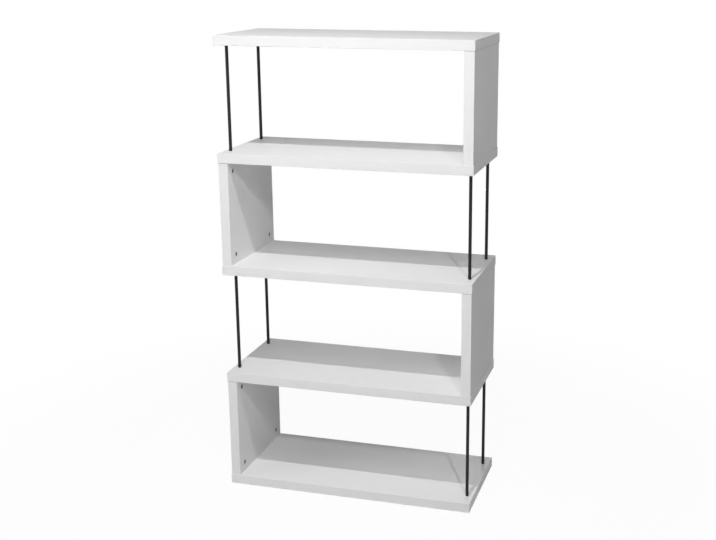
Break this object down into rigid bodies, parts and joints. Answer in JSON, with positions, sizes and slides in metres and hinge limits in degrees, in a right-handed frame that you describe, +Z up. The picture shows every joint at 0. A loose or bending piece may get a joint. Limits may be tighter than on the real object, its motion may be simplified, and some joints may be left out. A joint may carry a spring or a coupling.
{
  "type": "zigzag bookshelf",
  "caption": "Tall white open bookshelf whose end panels change sides from tier to tier, with slim black rods on the open sides; free-standing, open front and back.",
  "frame": {"origin": "on the floor, under the middle of the base board", "axes": "+Z up; +X to the viewer's right when facing the front; -Y is the front, +Y the back (both are open and alike)"},
  "size_m": [0.8, 0.35, 1.45],
  "materials": {
    "white_melamine": "white melamine foil with a fine satin grain on chipboard, edges banded in white plastic",
    "black_rod": "black satin powder coat on solid steel",
    "zinc_cam": "bare die-cast zinc, dull dark grey",
    "steel_bolt": "zinc-plated steel",
    "zinc_nut": "plain turned brass",
    "beech_dowel": "raw fluted beech"
  },
  "bodies": {
    "frame": {"base_board": "white_melamine", "lower_shelf": "white_melamine", "middle_shelf": "white_melamine", "upper_shelf": "white_melamine", "top_board": "white_melamine", "lower_left_panel": "white_melamine", "lower_left_cam_bolts": "steel_bolt", "lower_left_dowels": "beech_dowel", "lower_right_rod_front": "black_rod", "lower_right_rod_back": "black_rod", "lower_right_rod_nuts": "zinc_nut", "lower_right_panel": "white_melamine", "lower_right_cam_bolts": "steel_bolt", "lower_right_dowels": "beech_dowel", "lower_left_rod_front": "black_rod", "lower_left_rod_back": "black_rod", "lower_left_rod_nuts": "zinc_nut", "upper_left_panel": "white_melamine", "upper_left_cam_bolts": "steel_bolt", "upper_left_dowels": "beech_dowel", "upper_right_rod_front": "black_rod", "upper_right_rod_back": "black_rod", "upper_right_rod_nuts": "zinc_nut", "upper_right_panel": "white_melamine", "upper_right_cam_bolts": "steel_bolt", "upper_right_dowels": "beech_dowel", "upper_left_rod_front": "black_rod", "upper_left_rod_back": "black_rod", "upper_left_rod_nuts": "zinc_nut"},
    "lower_left_cam_top_front": {"lower_left_cam_top_front": "zinc_cam"},
    "lower_left_cam_top_back": {"lower_left_cam_top_back": "zinc_cam"},
    "lower_left_cam_bottom_front": {"lower_left_cam_bottom_front": "zinc_cam"},
    "lower_left_cam_bottom_back": {"lower_left_cam_bottom_back": "zinc_cam"},
    "lower_right_cam_top_front": {"lower_right_cam_top_front": "zinc_cam"},
    "lower_right_cam_top_back": {"lower_right_cam_top_back": "zinc_cam"},
    "lower_right_cam_bottom_front": {"lower_right_cam_bottom_front": "zinc_cam"},
    "lower_right_cam_bottom_back": {"lower_right_cam_bottom_back": "zinc_cam"},
    "upper_left_cam_top_front": {"upper_left_cam_top_front": "zinc_cam"},
    "upper_left_cam_top_back": {"upper_left_cam_top_back": "zinc_cam"},
    "upper_left_cam_bottom_front": {"upper_left_cam_bottom_front": "zinc_cam"},
    "upper_left_cam_bottom_back": {"upper_left_cam_bottom_back": "zinc_cam"},
    "upper_right_cam_top_front": {"upper_right_cam_top_front": "zinc_cam"},
    "upper_right_cam_top_back": {"upper_right_cam_top_back": "zinc_cam"},
    "upper_right_cam_bottom_front": {"upper_right_cam_bottom_front": "zinc_cam"},
    "upper_right_cam_bottom_back": {"upper_right_cam_bottom_back": "zinc_cam"}
  },
  "joints": [
    {"name": "lower_left_cam_top_front_turn", "type": "hinge", "parent": "frame", "child": "lower_left_cam_top_front", "pos_m": [-0.3685, -0.135, 0.325], "axis": [1, 0, 0], "range_deg": [0, 180]},
    {"name": "lower_left_cam_top_back_turn", "type": "hinge", "parent": "frame", "child": "lower_left_cam_top_back", "pos_m": [-0.3685, 0.135, 0.325], "axis": [1, 0, 0], "range_deg": [0, 180]},
    {"name": "lower_left_cam_bottom_front_turn", "type": "hinge", "parent": "frame", "child": "lower_left_cam_bottom_front", "pos_m": [-0.3685, -0.135, 0.06], "axis": [1, 0, 0], "range_deg": [0, 180]},
    {"name": "lower_left_cam_bottom_back_turn", "type": "hinge", "parent": "frame", "child": "lower_left_cam_bottom_back", "pos_m": [-0.3685, 0.135, 0.06], "axis": [1, 0, 0], "range_deg": [0, 180]},
    {"name": "lower_right_cam_top_front_turn", "type": "hinge", "parent": "frame", "child": "lower_right_cam_top_front", "pos_m": [0.3685, -0.135, 0.68], "axis": [-1, 0, 0], "range_deg": [0, 180]},
    {"name": "lower_right_cam_top_back_turn", "type": "hinge", "parent": "frame", "child": "lower_right_cam_top_back", "pos_m": [0.3685, 0.135, 0.68], "axis": [-1, 0, 0], "range_deg": [0, 180]},
    {"name": "lower_right_cam_bottom_front_turn", "type": "hinge", "parent": "frame", "child": "lower_right_cam_bottom_front", "pos_m": [0.3685, -0.135, 0.415], "axis": [-1, 0, 0], "range_deg": [0, 180]},
    {"name": "lower_right_cam_bottom_back_turn", "type": "hinge", "parent": "frame", "child": "lower_right_cam_bottom_back", "pos_m": [0.3685, 0.135, 0.415], "axis": [-1, 0, 0], "range_deg": [0, 180]},
    {"name": "upper_left_cam_top_front_turn", "type": "hinge", "parent": "frame", "child": "upper_left_cam_top_front", "pos_m": [-0.3685, -0.135, 1.035], "axis": [1, 0, 0], "range_deg": [0, 180]},
    {"name": "upper_left_cam_top_back_turn", "type": "hinge", "parent": "frame", "child": "upper_left_cam_top_back", "pos_m": [-0.3685, 0.135, 1.035], "axis": [1, 0, 0], "range_deg": [0, 180]},
    {"name": "upper_left_cam_bottom_front_turn", "type": "hinge", "parent": "frame", "child": "upper_left_cam_bottom_front", "pos_m": [-0.3685, -0.135, 0.77], "axis": [1, 0, 0], "range_deg": [0, 180]},
    {"name": "upper_left_cam_bottom_back_turn", "type": "hinge", "parent": "frame", "child": "upper_left_cam_bottom_back", "pos_m": [-0.3685, 0.135, 0.77], "axis": [1, 0, 0], "range_deg": [0, 180]},
    {"name": "upper_right_cam_top_front_turn", "type": "hinge", "parent": "frame", "child": "upper_right_cam_top_front", "pos_m": [0.3685, -0.135, 1.39], "axis": [-1, 0, 0], "range_deg": [0, 180]},
    {"name": "upper_right_cam_top_back_turn", "type": "hinge", "parent": "frame", "child": "upper_right_cam_top_back", "pos_m": [0.3685, 0.135, 1.39], "axis": [-1, 0, 0], "range_deg": [0, 180]},
    {"name": "upper_right_cam_bottom_front_turn", "type": "hinge", "parent": "frame", "child": "upper_right_cam_bottom_front", "pos_m": [0.3685, -0.135, 1.125], "axis": [-1, 0, 0], "range_deg": [0, 180]},
    {"name": "upper_right_cam_bottom_back_turn", "type": "hinge", "parent": "frame", "child": "upper_right_cam_bottom_back", "pos_m": [0.3685, 0.135, 1.125], "axis": [-1, 0, 0], "range_deg": [0, 180]}
  ]
}
